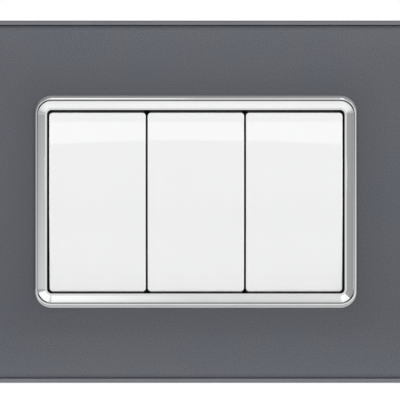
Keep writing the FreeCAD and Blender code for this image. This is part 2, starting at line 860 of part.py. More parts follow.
def housing_lug(body, up):
    """A snap lug on the neck that catches on the front of the support frame."""
    root, rear = "neck_height / 2 - body_wall / 2", "frame_thickness + lug_clearance"
    corners = [
        (f"-({rear})", root),
        (f"-({rear})", "neck_height / 2 + lug_reach"),
        ("-neck_front", "neck_height / 2"),
        ("-neck_front", root),
    ]
    profile = [(along, f"{up} * ({height})") for along, height in corners]
    pad(body, outline(side_sketch(body), profile), "lug_width", symmetric=True)


def terminal_base(side):
    """The rear cover: a flange, a plug in the housing and the seats for the contacts and cages."""
    body = new_body("terminal_base")
    flange = rectangle(front_sketch(body, "-body_depth"), "body_width", "body_height")
    pad(body, flange, "base_flange", backwards=True)
    soften("Chamfer", body, corner_edges("body_width", "body_height"), "body_edge")
    rear_edges = outer_edges("-(body_depth + base_flange)", "cavity_width", "cavity_height")
    soften("Chamfer", body, rear_edges, "body_edge")
    plug = front_sketch(body, "-body_depth")
    inset = "2 * base_clearance"
    rectangle(plug, f"cavity_width - {inset}", f"cavity_height - {inset}")
    pad(body, plug, "base_plug")
    wide = "strip_width / 2 + stop_width / 3"
    base_post(body, f"-({wide})", wide, "-2 * fulcrum_radius", "tongue_height - 2 * cage_wall", "strip_back")
    low = "contact_arm - contact_width / 2 - strip_thickness / 2"
    base_post(body, f"-({wide})", wide, "-(contact_arm + 2 * contact_width / 2 + strip_thickness)",
              f"-({low})", "strip_back")
    pad_back = "fixed_back + strip_thickness"
    base_post(body, f"-({wide})", wide, f"-({low} + contact_width)", f"-({low})", pad_back)
    for hand in (-1, 1):
        inner, outer = "strip_width / 2 + stop_width / 3", "strip_width / 2 + stop_width / 3 + stop_width"
        ends = sorted((f"{hand} * ({inner})", f"{hand} * ({outer})"), key=number)
        base_post(body, *ends, "rocker_length / 2 - 2 * stop_width", "rocker_length / 2", "stop_front")
        for up in (-1, 1):
            cage_guide(body, hand, up)
            base_catch(body, hand, up)
    for up in (-1, 1):
        entry = front_sketch(body, "-base_floor")
        middle = f"{up} * wire_height"
        reach = "wire_entry_height / 2"
        half = "wire_entry_width / 2"
        block(entry, f"-{half}", half, f"{middle} - {reach}", f"{middle} + {reach}")
        pocket(body, entry, "base_plug + base_flange")
    place_module(body, side)
    return finished(body, f"terminal_base_{side}")


def base_post(body, left, right, bottom, top, depth):
    """A post that stands on the base's floor, its front at that depth behind the wall."""
    foot = block(front_sketch(body, "-base_floor"), left, right, bottom, top)
    pad(body, foot, f"base_floor - ({depth})")


def cage_guide(body, hand, up):
    """A rib beside a terminal cage, which keeps it from turning with its screw."""
    inner = "cage_width / 2 + base_clearance"
    across = sorted((f"{hand} * ({inner})", f"{hand} * ({inner} + cage_wall)"), key=number)
    height = sorted((f"{up} * cage_bottom", f"{up} * cage_top"), key=number)
    base_post(body, *across, *height, "cage_depth + strip_thickness / 2")


def base_catch(body, hand, up):
    """A snap wedge on the plug that locks in a window of the housing."""
    edge = "cavity_height / 2 - base_clearance"
    end = "base_floor - base_catch_length"
    corners = [
        ("base_floor - base_clearance", f"{edge} - 2 * base_catch_reach"),
        (end, f"{edge} - 2 * base_catch_reach"),
        (end, f"{edge} - base_catch_reach / 2"),
        ("base_floor - base_clearance", f"{edge} + base_clearance + base_catch_reach"),
    ]
    profile = [(along, f"{up} * ({height})") for along, height in corners]
    across = f"{hand} * base_catch_spacing / 2 - base_catch_width / 2"
    pad(body, outline(side_sketch(body, across), profile), "base_catch_width")
    root = front_sketch(body, "-base_floor")
    left, right = across, f"{across} + base_catch_width"
    ends = sorted((f"{up} * ({edge})", f"{up} * ({edge} - 2 * base_catch_reach)"), key=number)
    pad(body, block(root, left, right, *ends), "base_clearance")


# Contacts and terminals

def contact_rocker(side):
    """The brass see-saw that carries the moving contact, with a saddle on the fulcrum."""
    body = new_body("contact_rocker")
    half = "rocker_length / 2"
    front = "-(saddle_height + rocker_thickness)"
    plate = block(side_sketch(body), front, "-saddle_height", f"-{half}", half)
    pad(body, plate, "rocker_width", symmetric=True)
    reach = "saddle_length / 2"
    saddle = block(side_sketch(body), "-saddle_height - rocker_thickness / 2", "0", f"-{reach}", reach)
    pad(body, saddle, "strip_width", symmetric=True)
    groove = circle(side_sketch(body), ("0", "0"), "fulcrum_radius + fulcrum_clearance")
    pocket(body, groove, "2 * rocker_width", symmetric=True)
    place_on_fulcrum(body, side)
    return finished(body, f"contact_rocker_{side}")


def contact_tip(body, out):
    """The square outline of a silver tip about the contact point."""
    half = "contact_width / 2"
    sides = (f"-{half}", half, f"-contact_arm - {half}", f"-contact_arm + {half}")
    return block(front_sketch(body, out), *sides)


def moving_contact(side):
    """The silver contact on the lower arm of the see-saw."""
    body = new_body("moving_contact")
    pad(body, contact_tip(body, "saddle_height"), "contact_thickness", backwards=True)
    tip = number("contact_top")
    soften("Chamfer", body, lambda edge: level_with(edge, tip), "contact_chamfer")
    place_on_fulcrum(body, side)
    return finished(body, f"moving_contact_{side}")


def fixed_contact(side):
    """The silver contact on the switched terminal."""
    body = new_body("fixed_contact")
    pad(body, contact_tip(body, "-fixed_back"), "contact_thickness")
    tip = number("fixed_front")
    soften("Chamfer", body, lambda edge: level_with(edge, tip), "contact_chamfer")
    place_module(body, side)
    return finished(body, f"fixed_contact_{side}")


def common_terminal(side):
    """The brass strip that ends in the fulcrum at the front and in the upper cage at the rear."""
    body = new_body("common_terminal")
    foot = "fulcrum_radius"
    strip = [
        ("fulcrum_depth", f"-{foot}"),
        ("strip_back", f"-{foot}"),
        ("strip_back", "tongue_height"),
        ("tongue_end", "tongue_height"),
        ("tongue_end", "tongue_top"),
        ("strip_depth", "tongue_top"),
        ("strip_depth", foot),
        ("fulcrum_depth", foot),
    ]
    pad(body, outline(side_sketch(body), strip), "strip_width", symmetric=True)
    ridge = circle(side_sketch(body), ("fulcrum_depth", "0"), "fulcrum_radius")
    pad(body, ridge, "strip_width", symmetric=True)
    place_module(body, side)
    return finished(body, f"common_terminal_{side}")


def switched_terminal(side):
    """The brass strip behind the fixed contact, bent down into the lower cage."""
    body = new_body("switched_terminal")
    upper = "contact_arm - contact_width / 2 - strip_thickness / 2"
    lower = "contact_arm + contact_width / 2 + strip_thickness / 2"
    strip = [
        ("fixed_back", f"-({upper})"),
        ("fixed_back", f"-({lower})"),
        ("strip_depth", f"-({lower})"),
        ("strip_depth", "-tongue_top"),
        ("tongue_end", "-tongue_top"),
        ("tongue_end", "-tongue_height"),
        ("strip_back", "-tongue_height"),
        ("strip_back", f"-({lower} - strip_thickness)"),
        ("fixed_back + strip_thickness", f"-({lower} - strip_thickness)"),
        ("fixed_back + strip_thickness", f"-({upper})"),
    ]
    pad(body, outline(side_sketch(body), strip), "strip_width", symmetric=True)
    place_module(body, side)
    return finished(body, f"switched_terminal_{side}")


def turn_over(body, side, lower):
    """Leaves an upper terminal piece as drawn, or turns it over about the depth for the lower terminal."""
    body.Placement = FreeCAD.Placement(Vector(), FreeCAD.Rotation(Vector(0, 1, 0), 180 if lower else 0))
    place_module(body, side)
    return body


def terminal_cage(side, lower):
    """A square steel cage round the tongue, tapped for its screw."""
    body = new_body("terminal_cage")
    ring = front_sketch(body, "-cage_depth")
    block(ring, "-cage_width / 2", "cage_width / 2", "cage_bottom", "cage_top")
    inside = "cage_width / 2 - cage_wall"
    block(ring, f"-({inside})", inside, "tongue_height", "cage_roof")
    pad(body, ring, "cage_length", backwards=True)
    hole = circle(sketch_on(body, "XY_Plane", "cage_top"), ("0", "screw_depth"),
                  "terminal_screw / 2 + thread_clearance")
    pocket(body, hole, "cage_wall")
    return turn_over(body, side, lower)


def terminal_screw(side, lower):
    """A headless slotted screw in the cage, its end behind the access hole in the housing."""
    body = new_body("terminal_screw")
    top = "cavity_height / 2 - base_clearance"
    foot = circle(sketch_on(body, "XY_Plane", "screw_tip"), ("0", "0"), "terminal_screw / 2")
    pad(body, foot, f"{top} - (screw_tip)")
    slot = rectangle(sketch_on(body, "XY_Plane", top), "terminal_screw * 2", "driver_slot")
    pocket(body, slot, "driver_slot")
    turn_over(body, side, lower)
    bind(body, "Placement.Base.y", "screw_depth")
    return body


def switch_module(side):
    """Every piece of one rocker switch."""
    switch_housing(side)
    terminal_base(side)
    rocker_key(side)
    key_actuator(side)
    toggle_spring(side)
    toggle_plunger(side)
    contact_rocker(side)
    moving_contact(side)
    fixed_contact(side)
    common_terminal(side)
    switched_terminal(side)
    pair(f"terminal_cages_{side}", terminal_cage(side, False), terminal_cage(side, True))
    pair(f"terminal_screws_{side}", terminal_screw(side, False), terminal_screw(side, True))


def check_document():
    """Stops if any object failed or any node has no valid solid."""
    doc.recompute()
    for item in doc.Objects:
        if "Invalid" in item.State or "Error" in item.State:
            raise ValueError(f"{item.Label} failed: {item.State}")
    for node in nodes:
        shape = node.Shape
        if shape.isNull() or not shape.isValid() or not shape.Solids:
            raise ValueError(f"{node.Label} has no valid solid")


front_panel()
plate_carrier()
trim_bezel()
support_frame()
pair("fixing_screws", fixing_screw(-1), fixing_screw(1))
for name in MODULES:
    switch_module(name)
check_document()
os.makedirs("parts", exist_ok=True)
for node in nodes:
    node.Shape.exportStep(f"parts/{node.Label}.step")
    print(f"{node.Label}: {len(node.Shape.Solids)} solid, {node.Shape.Volume:.1f} mm3")
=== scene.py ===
"""Studio picture of a grid switch plate: satin grey cover, chrome bezel, three gloss white keys."""

import math

import bmesh
import bpy
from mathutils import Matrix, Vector


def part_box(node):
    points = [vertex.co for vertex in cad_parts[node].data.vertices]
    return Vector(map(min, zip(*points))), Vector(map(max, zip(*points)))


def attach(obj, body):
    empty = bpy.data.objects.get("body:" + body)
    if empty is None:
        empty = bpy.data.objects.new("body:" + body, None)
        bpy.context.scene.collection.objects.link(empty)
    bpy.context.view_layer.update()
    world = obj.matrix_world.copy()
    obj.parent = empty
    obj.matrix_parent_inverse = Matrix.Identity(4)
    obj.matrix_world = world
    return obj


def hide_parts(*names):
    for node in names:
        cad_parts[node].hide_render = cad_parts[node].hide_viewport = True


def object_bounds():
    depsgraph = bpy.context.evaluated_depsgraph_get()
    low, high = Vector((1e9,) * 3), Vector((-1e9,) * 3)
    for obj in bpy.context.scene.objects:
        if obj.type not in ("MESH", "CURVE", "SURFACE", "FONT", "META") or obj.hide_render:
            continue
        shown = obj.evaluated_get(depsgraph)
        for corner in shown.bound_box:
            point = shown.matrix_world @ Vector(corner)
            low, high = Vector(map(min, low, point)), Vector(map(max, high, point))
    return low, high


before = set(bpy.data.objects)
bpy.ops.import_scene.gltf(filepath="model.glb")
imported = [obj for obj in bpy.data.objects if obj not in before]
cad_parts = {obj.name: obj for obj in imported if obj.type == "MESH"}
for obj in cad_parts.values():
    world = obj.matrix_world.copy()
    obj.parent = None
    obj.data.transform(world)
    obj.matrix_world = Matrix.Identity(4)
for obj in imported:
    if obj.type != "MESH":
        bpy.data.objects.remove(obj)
CAD_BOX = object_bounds()
MM = 0.001
SIDES = ("left", "centre", "right")
WHITE, BLACK = (1, 1, 1, 1), (0, 0, 0, 1)

# What the photograph frames: a square of the plate's front, a little off the middle
FRAME_WIDTH = 91.14 * MM
AIM_X, AIM_Z = 0.945 * MM, 0.39 * MM
CAMERA_DISTANCE, CLIP_START = 1.0, 0.01
SENSOR_WIDTH = 36.0

# The plate's front and the floor under its lower edge
PANEL_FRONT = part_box("front_panel")[0].y
FLOOR_Z = CAD_BOX[0].z

# The key opening in the bezel; the groove and the bezel's sides count outwards from its edge
OPENING_HALF_WIDTH, OPENING_HALF_HEIGHT = 33.92 * MM, 20.925 * MM
OPENING_CORNER = 1.05 * MM
GROOVE_START, GROOVE_END, BEZEL_WIDTH = 2.0 * MM, 2.31 * MM, 2.68 * MM

# The box screws; places along them count backwards from the wall
SCREW_PLACES = (-41.75 * MM, 41.75 * MM)
HEAD_RADIUS, HEAD_TOP, HEAD_SEAT = 3.3 * MM, -3.5 * MM, -1.6 * MM
SLOT_HALF_WIDTH, SLOT_FLOOR = 0.45 * MM, -2.55 * MM
NECK_RADIUS, THREAD_START = 1.55 * MM, -0.05 * MM
THREAD_RADIUS, THREAD_ROOT, THREAD_PITCH = 1.75 * MM, 1.38 * MM, 0.7 * MM
THREAD_FLANK = 0.45 * THREAD_PITCH
CORE_RADIUS = 1.02 * THREAD_ROOT
SCREW_TIP = 20.0 * MM
SCREW_STEPS = 28
SHARP_ANGLE = math.radians(35)

# The room's light to the left and right, as far to the side as the bezel's bevel mirrors it
ROOM_LEFT, ROOM_RIGHT = 0.39, 0.6
ROOM_REACH = 0.84

# The floor's own light, what the lens or a mirror sees on top of it, and a glow at the plate's foot
FLOOR_GLOW, FLOOR_LIFT, MIRROR_LIFT = 0.34, 0.26, 0.21
FOOT_GLOW, FOOT_REACH = 0.3, 25 * MM

# In mirrors the floor is dimmer close before the plate, and fades out further away
NEAR_TONE, NEAR_START, NEAR_END = 0.7, 14 * MM, 30 * MM
FADE_START, FADE_END = 0.07, 0.28
FLOOR_HALF = 0.45

# The range that noise mostly keeps to
NOISE_LOW, NOISE_HIGH = 0.3, 0.7

# Softboxes: name, place, width and radiance
SOFTBOXES = (
    ("high_front", (0, -0.5, 0.77), 0.6, 0.32),
    ("main_light", (0.75, -1.75, 0.1), 0.7, 6.05),
    ("fill_light", (-0.75, -1.75, 0.1), 0.7, 4.1),
    ("back_light", (-0.6, 1.5, 0.6), 0.8, 3.0),
)


# Materials

class Look:
    """A node material with one principled shader, and the nodes that vary it over the surface."""

    def __init__(self, name):
        self.material = bpy.data.materials.new(name)
        self.material.use_nodes = True
        self.tree = self.material.node_tree
        self.shader = self.tree.nodes["Principled BSDF"]
        coordinates = self.node("ShaderNodeTexCoord").outputs
        self.place, self.normal = coordinates["Object"], coordinates["Normal"]

    def node(self, kind, **settings):
        """A new node with those settings."""
        node = self.tree.nodes.new(kind)
        for key, value in settings.items():
            setattr(node, key, value)
        return node

    def link(self, source, target):
        """Joins an output to an input."""
        self.tree.links.new(source, target)

    def use(self, **sockets):
        """Links outputs to the shader's sockets, named with underscores."""
        for key, socket in sockets.items():
            self.link(socket, self.shader.inputs[key.replace("_", " ").title()])

    def set(self, **values):
        """Sets plain values on the shader's own sockets."""
        for key, value in values.items():
            name = key.replace("_", " ").title().replace("Ior", "IOR")
            self.shader.inputs[name].default_value = value

    def feed(self, value, target):
        """Gives an input a number, or links an output to it."""
        if isinstance(value, (int, float)):
            target.default_value = value
        else:
            self.link(value, target)

    def math(self, operation, *values):
        """A math node on sockets and numbers."""
        node = self.node("ShaderNodeMath", operation=operation)
        for value, target in zip(values, node.inputs):
            self.feed(value, target)
        return node.outputs["Value"]

    def product(self, first, *others):
        """Several outputs multiplied together."""
        for other in others:
            first = self.math("MULTIPLY", first, other)
        return first

    def vector(self, operation, value, other=(0, 0, 0)):
        """A vector math node on a socket and a constant vector."""
        node = self.node("ShaderNodeVectorMath", operation=operation)
        self.link(value, node.inputs[0])
        node.inputs[1].default_value = other
        return node.outputs["Value" if operation == "LENGTH" else "Vector"]

    def part(self, vector, name):
        """One coordinate of a vector."""
        split = self.node("ShaderNodeSeparateXYZ")
        self.link(vector, split.inputs["Vector"])
        return split.outputs[name]

    def axis(self, name):
        """One coordinate of the place on the object, in metres."""
        return self.part(self.place, name)

    def grain(self, size, detail=3.0, stretch=(1, 1, 1)):
        """Noise with features of about that size in metres, stretched along the axes."""
        mapping = self.node("ShaderNodeMapping")
        mapping.inputs["Scale"].default_value = [1 / (size * s) for s in stretch]
        noise = self.node("ShaderNodeTexNoise")
        noise.inputs["Scale"].default_value = 1.0
        noise.inputs["Detail"].default_value = detail
        self.link(self.place, mapping.inputs["Vector"])
        self.link(mapping.outputs["Vector"], noise.inputs["Vector"])
        return noise.outputs["Fac"]

    def spread(self, value, low, high, start=NOISE_LOW, end=NOISE_HIGH):
        """Maps a value from start to end, by default the range of noise, onto low to high."""
        node = self.node("ShaderNodeMapRange")
        ends = {"Value": value, "From Min": start, "From Max": end, "To Min": low, "To Max": high}
        for name, given in ends.items():
            self.feed(given, node.inputs[name])
        return node.outputs["Result"]

    def pick(self, choice, no, yes):
        """The one value or the other, by an output that is 0 or 1."""
        return self.spread(choice, no, yes, start=0.0, end=1.0)

    def ramp(self, fac, stops):
        """A colour ramp through stops of place and colour."""
        node = self.node("ShaderNodeValToRGB")
        while len(node.color_ramp.elements) < len(stops):
            node.color_ramp.elements.new(1.0)
        for element, (place, colour) in zip(node.color_ramp.elements, stops):
            element.position = place
            element.color = (*colour, 1)
        self.link(fac, node.inputs["Fac"])
        return node.outputs["Color"]

    def colours(self, noise, dark, light):
        """Two colours that noise runs between."""
        return self.ramp(noise, [(NOISE_LOW, dark), (NOISE_HIGH, light)])

    def scaled(self, colour, factor):
        """A colour made paler or darker by an output."""
        node = self.node("ShaderNodeVectorMath", operation="SCALE")
        self.link(colour, node.inputs[0])
        self.link(factor, node.inputs["Scale"])
        return node.outputs["Vector"]

    def bump(self, height, depth, edge=0.0):
        """Relief of that depth, over edges that are broken by a radius where one is given."""
        bump = self.node("ShaderNodeBump")
        bump.inputs["Distance"].default_value = depth
        self.link(height, bump.inputs["Height"])
        if edge:
            broken = self.node("ShaderNodeBevel", samples=6)
            broken.inputs["Radius"].default_value = edge
            self.link(broken.outputs["Normal"], bump.inputs["Normal"])
        self.use(normal=bump.outputs["Normal"])


def shade(colour, factor):
    """A colour made paler or darker by a number."""
    return tuple(c * factor for c in colour)


def past_runs(look):
    """How far a place on the front lies past the straight runs of the key opening's edge."""
    any_depth = 1.0
    half = Vector((OPENING_HALF_WIDTH, any_depth, OPENING_HALF_HEIGHT))
    runs = half - Vector((OPENING_CORNER, 0, OPENING_CORNER))
    return look.vector("SUBTRACT", look.vector("ABSOLUTE", look.place), runs)


def from_opening(look):
    """How far a place on the front lies outside the edge of the key opening."""
    distance = look.vector("LENGTH", look.vector("MAXIMUM", past_runs(look)))
    return look.math("SUBTRACT", distance, OPENING_CORNER)


def from_edge(look):
    """How far a place on the panel lies outside its edge, less than zero within it."""
    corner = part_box("front_panel")[1]
    past = look.vector("SUBTRACT", look.vector("ABSOLUTE", look.place), corner)
    return look.math("MAXIMUM", look.part(past, "X"), look.part(past, "Z"))


def painted_foot_light(look, tone):
    """Painted light: a tone that rises over the last stretch towards the foot of the plate."""
    stretch = 15 * MM
    return look.spread(look.axis("Z"), tone, 1.0, start=FLOOR_Z, end=FLOOR_Z + stretch)


def painted_groove_shade(look, across):
    """Painted shade in the plating's groove: dim along its runs, dimmer above, black in its corners."""
    top = OPENING_HALF_HEIGHT
    past = past_runs(look)
    into_corner = look.math("MINIMUM", look.part(past, "X"), look.part(past, "Z"))
    # Painted shade, deeper above than below along the runs and near black in the corners.
    painted_shade_on_runs = look.spread(look.axis("Z"), 0.62, 0.8, start=-top, end=top)
    painted_shade_depth = look.spread(into_corner, painted_shade_on_runs, 0.99, start=0.8 * MM, end=1.6 * MM)
    middle, half = (GROOVE_START + GROOVE_END) / 2, (GROOVE_END - GROOVE_START) / 2
    in_groove = look.math("COMPARE", across, middle, half)
    return look.math("SUBTRACT", 1.0, look.product(in_groove, painted_shade_depth))


def satin_panel():
    """Satin grey lacquer with a fine sparkle and a slow drift of tint.

    By painted light it is paler towards the long edges and the foot; by painted shade it is darker
    round the bezel and along its own border; a painted highlight pales its outermost edge.
    """
    look = Look("satin_panel")
    height, outside = look.math("ABSOLUTE", look.axis("Z")), from_edge(look)
    drift = look.grain(16 * MM, detail=2.0)
    tint = look.colours(drift, (0.083, 0.086, 0.0985), (0.0785, 0.084, 0.1035))
    sparkle = look.spread(look.grain(0.3 * MM, detail=2.0), 0.78, 1.22)
    # Painted light: paler towards the long edges.
    painted_light_to_long_edges = look.spread(height, 1.0, 1.15, start=29 * MM, end=39 * MM)
    # Painted shade: darker round the bezel.
    shadow = look.spread(from_opening(look), 0.85, 1.0, start=2.7 * MM, end=11 * MM)
    # Painted shade along the panel's border, then a painted highlight on its outermost edge.
    painted_margin_shade = look.spread(outside, 1.0, 0.8, start=-1.1 * MM, end=-0.2 * MM)
    painted_brink_light = look.spread(outside, 1.0, 3.0, start=-0.2 * MM, end=0.0)
    # Painted light: paler towards the foot.
    foot = painted_foot_light(look, 1.15)
    look.use(base_color=look.scaled(tint, look.product(sparkle, painted_light_to_long_edges, shadow, painted_margin_shade, painted_brink_light, foot)))
    look.use(roughness=look.spread(look.grain(0.4 * MM), 0.42, 0.52))
    look.bump(look.grain(0.12 * MM, detail=2.0), 0.002 * MM)
    look.set(specular_ior_level=0.32)
    return look.material


def moulded(name, colour, rough):
    """Moulded plastic with a spark-eroded texture, slight flow marks and broken edges."""
    look = Look(name)
    marks = look.colours(look.grain(9 * MM, detail=5.0), shade(colour, 0.93), shade(colour, 1.05))
    # Painted light: paler towards the plate's foot.
    look.use(base_color=look.scaled(marks, painted_foot_light(look, 1.18)))
    look.use(roughness=look.spread(look.grain(3 * MM), rough - 0.05, rough + 0.05))
    look.bump(look.grain(0.2 * MM, detail=2.0), 0.006 * MM, edge=0.12 * MM)
    return look.material


def gloss_white():
    """Polished white thermoplastic, with painted highlights along its edges and painted light at its
    foot.
    """
    look = Look("gloss_white")
    white = (0.845, 0.846, 0.848)
    marks = look.colours(look.grain(12 * MM, detail=4.0), shade(white, 0.994), shade(white, 1.004))
    # Painted highlight: paler where the surface turns from the front, along the key edges.
    facing = look.math("ABSOLUTE", look.part(look.normal, "Y"))
    edges = look.spread(facing, 1.12, 1.0, start=0.75, end=0.95)
    # Painted light: paler just above the keys' lower edge.
    low = -OPENING_HALF_HEIGHT
    foot = look.spread(look.axis("Z"), 1.06, 1.0, start=low + 0.6 * MM, end=low + 3.6 * MM)
    look.use(base_color=look.scaled(marks, look.product(edges, foot)))
    look.use(roughness=look.spread(look.grain(2 * MM), 0.012, 0.02))
    look.bump(look.grain(8 * MM, detail=1.0), 0.0006 * MM, edge=0.1 * MM)
    return look.material


def chrome():
    """Polished chrome plate, with painted shade: dark in its groove, darker towards its outer edge and
    on its left lip.
    """
    look = Look("chrome")
    # Painted shade: the plate darkens beside the groove and towards its outer edge.
    bright, painted_shade_by_groove, painted_shade_outer = [shade((0.86, 0.865, 0.87), tone) for tone in (1.0, 0.86, 0.6)]
    across = from_opening(look)
    groove_start, groove_end = GROOVE_START / BEZEL_WIDTH, GROOVE_END / BEZEL_WIDTH
    stops = [
        (0.45, bright),
        (groove_start, painted_shade_by_groove),
        (groove_end, bright),
        (groove_end + 0.06, bright),
        (1.0, painted_shade_outer),
    ]
    plate = look.ramp(look.spread(across, 0.0, 1.0, start=0.0, end=BEZEL_WIDTH), stops)
    haze = look.spread(look.grain(6 * MM), 0.985, 1.0)
    lip_start, lip_end = OPENING_HALF_WIDTH + GROOVE_START, OPENING_HALF_WIDTH + GROOVE_END
    # Painted shade on the left lip.
    painted_shade_left_lip = look.spread(look.axis("X"), 0.75, 1.0, start=-lip_end, end=-lip_start)
    tone = look.product(haze, painted_groove_shade(look, across), painted_shade_left_lip)
    look.use(base_color=look.scaled(plate, tone))
    look.use(roughness=look.spread(look.grain(1.5 * MM), 0.04, 0.07))
    look.bump(look.grain(4 * MM, detail=1.0), 0.0015 * MM)
    look.set(metallic=1.0)
    return look.material


def metal(name, colour, rough, stretch=(1, 1, 1)):
    """Stamped or drawn metal, brushed along the axes with the longer stretch."""
    look = Look(name)
    streaks = look.grain(0.15 * MM, detail=4.0, stretch=stretch)
    tarnish = look.grain(2 * MM, detail=4.0)
    look.use(base_color=look.colours(tarnish, shade(colour, 0.86), colour))
    look.use(roughness=look.spread(streaks, rough - 0.08, rough + 0.1))
    look.bump(streaks, 0.002 * MM)
    look.set(metallic=1.0)
    return look.material


def dress(nodes, material):
    """Gives CAD nodes a material in place of their plain one."""
    for name in nodes:
        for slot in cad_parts[name].material_slots:
            slot.material = material


def dress_modules(pieces, material):
    """Gives a material to pieces that each of the three modules has."""
    dress([f"{piece}_{side}" for piece in pieces for side in SIDES], material)


def dress_plate():
    """Materials of the cover, the bezel and the frame behind them."""
    dress(["front_panel"], satin_panel())
    dress(["plate_carrier"], moulded("moulded_rim", (0.128, 0.134, 0.151), rough=0.42))
    dress(["trim_bezel"], chrome())
    dress(["support_frame"], moulded("moulded_frame", (0.05, 0.052, 0.056), rough=0.5))


def dress_switches():
    """Materials of the keys and of what each module holds, apart from its steel."""
    dress_modules(["rocker_key"], gloss_white())
    dress_modules(["switch_housing"], moulded("moulded_housing", (0.06, 0.061, 0.064), rough=0.48))
    dress_modules(["terminal_base"], moulded("moulded_base", (0.22, 0.225, 0.235), rough=0.5))
    dress_modules(["key_actuator"], moulded("moulded_actuator", (0.7, 0.7, 0.68), rough=0.4))
    dress_modules(["toggle_plunger"], moulded("moulded_plunger", (0.25, 0.15, 0.08), rough=0.4))
    brass = metal("stamped_brass", (0.78, 0.58, 0.27), rough=0.3, stretch=(1, 1, 12))
    dress_modules(["contact_rocker", "common_terminal", "switched_terminal"], brass)
    silver = metal("silver_tip", (0.86, 0.85, 0.82), rough=0.28)
    dress_modules(["moving_contact", "fixed_contact"], silver)


def dress_steel():
    """Zinc-plated steel for the screws, cages and springs."""
    steel = metal("zinc_steel", (0.62, 0.63, 0.65), rough=0.34)
    dress(["fixing_screws"], steel)
    dress_modules(["terminal_screws", "terminal_cages", "toggle_spring"], steel)
    box_screws(steel)


# Box screws with their threads

def turn_points(x, radius, y):
    """A ring of points round a screw's axis."""
    angles = [2 * math.pi * i / SCREW_STEPS for i in range(SCREW_STEPS)]
    return [(x + radius * math.cos(a), y, radius * math.sin(a)) for a in angles]


def turned(bm, x, profile):
    """A turned form: rings of the profile's radii and places, closed at both ends."""
    rings = [[bm.verts.new(p) for p in turn_points(x, radius, y)] for radius, y in profile]
    for near, far in zip(rings, rings[1:]):
        for i in range(SCREW_STEPS):
            j = (i + 1) % SCREW_STEPS
            bm.faces.new((near[i], near[j], far[j], far[i]))
    bm.faces.new(rings[0][::-1])
    bm.faces.new(rings[-1])


def head_half(bm, x, side):
    """The part of the head above one side of its slot."""
    start = math.asin(SLOT_HALF_WIDTH / HEAD_RADIUS)
    steps = SCREW_STEPS // 2
    angles = [start + (math.pi - 2 * start) * i / steps for i in range(steps + 1)]
    outline = [(x + HEAD_RADIUS * math.cos(a), side * HEAD_RADIUS * math.sin(a)) for a in angles]
    low = [bm.verts.new((px, SLOT_FLOOR, pz)) for px, pz in outline]
    top = [bm.verts.new((px, HEAD_TOP, pz)) for px, pz in outline]
    bm.faces.new(top)
    for i in range(len(outline)):
        j = (i + 1) % len(outline)
        bm.faces.new((low[i], low[j], top[j], top[i]))


def thread(bm, x):
    """A sharp ridge that climbs round the shank."""
    length = SCREW_TIP - THREAD_START - THREAD_PITCH
    strips = []
    for i in range(int(length / THREAD_PITCH * SCREW_STEPS) + 1):
        angle = 2 * math.pi * i / SCREW_STEPS
        y = THREAD_START + THREAD_PITCH * (0.5 + i / SCREW_STEPS)
        low, high = y - THREAD_FLANK, y + THREAD_FLANK
        section = ((THREAD_ROOT, low), (THREAD_RADIUS, y), (THREAD_ROOT, high))
        points = [(x + r * math.cos(angle), p, r * math.sin(angle)) for r, p in section]
        strips.append([bm.verts.new(point) for point in points])
    for a, b in zip(strips, strips[1:]):
        bm.faces.new((a[0], b[0], b[1], a[1]))
        bm.faces.new((a[1], b[1], b[2], a[2]))


def box_screws(material):
    """Both box screws, with the slots and threads of the real ones."""
    bm = bmesh.new()
    core = [
        (HEAD_RADIUS, SLOT_FLOOR),
        (HEAD_RADIUS, HEAD_SEAT),
        (NECK_RADIUS, HEAD_SEAT),
        (NECK_RADIUS, THREAD_START),
        (CORE_RADIUS, THREAD_START),
        (CORE_RADIUS, SCREW_TIP),
    ]
    for x in SCREW_PLACES:
        turned(bm, x, core)
        thread(bm, x)
        for side in (-1, 1):
            head_half(bm, x, side)
    bmesh.ops.recalc_face_normals(bm, faces=bm.faces)
    mesh = bpy.data.meshes.new("threaded_screws")
    bm.to_mesh(mesh)
    bm.free()
    mesh.materials.append(material)
    mesh.shade_smooth()
    mesh.set_sharp_from_angle(angle=SHARP_ANGLE)
    screws = bpy.data.objects.new("threaded_screws", mesh)
    bpy.context.scene.collection.objects.link(screws)
    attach(screws, "plate")
    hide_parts("fixing_screws")


# Stage

def rectangle(left, low, right, high):
    """The corners of a rectangle, in order round it."""
    return [(left, low), (right, low), (right, high), (left, high)]


def stage_sheet(name, corners, material):
    """A flat sheet that isn't part of the object."""
    mesh = bpy.data.meshes.new(name)
    mesh.from_pydata(corners, [], [tuple(range(len(corners)))])
    sheet = bpy.data.objects.new(name, mesh)
    bpy.context.scene.collection.objects.link(sheet)
    mesh.materials.append(material)
    return sheet


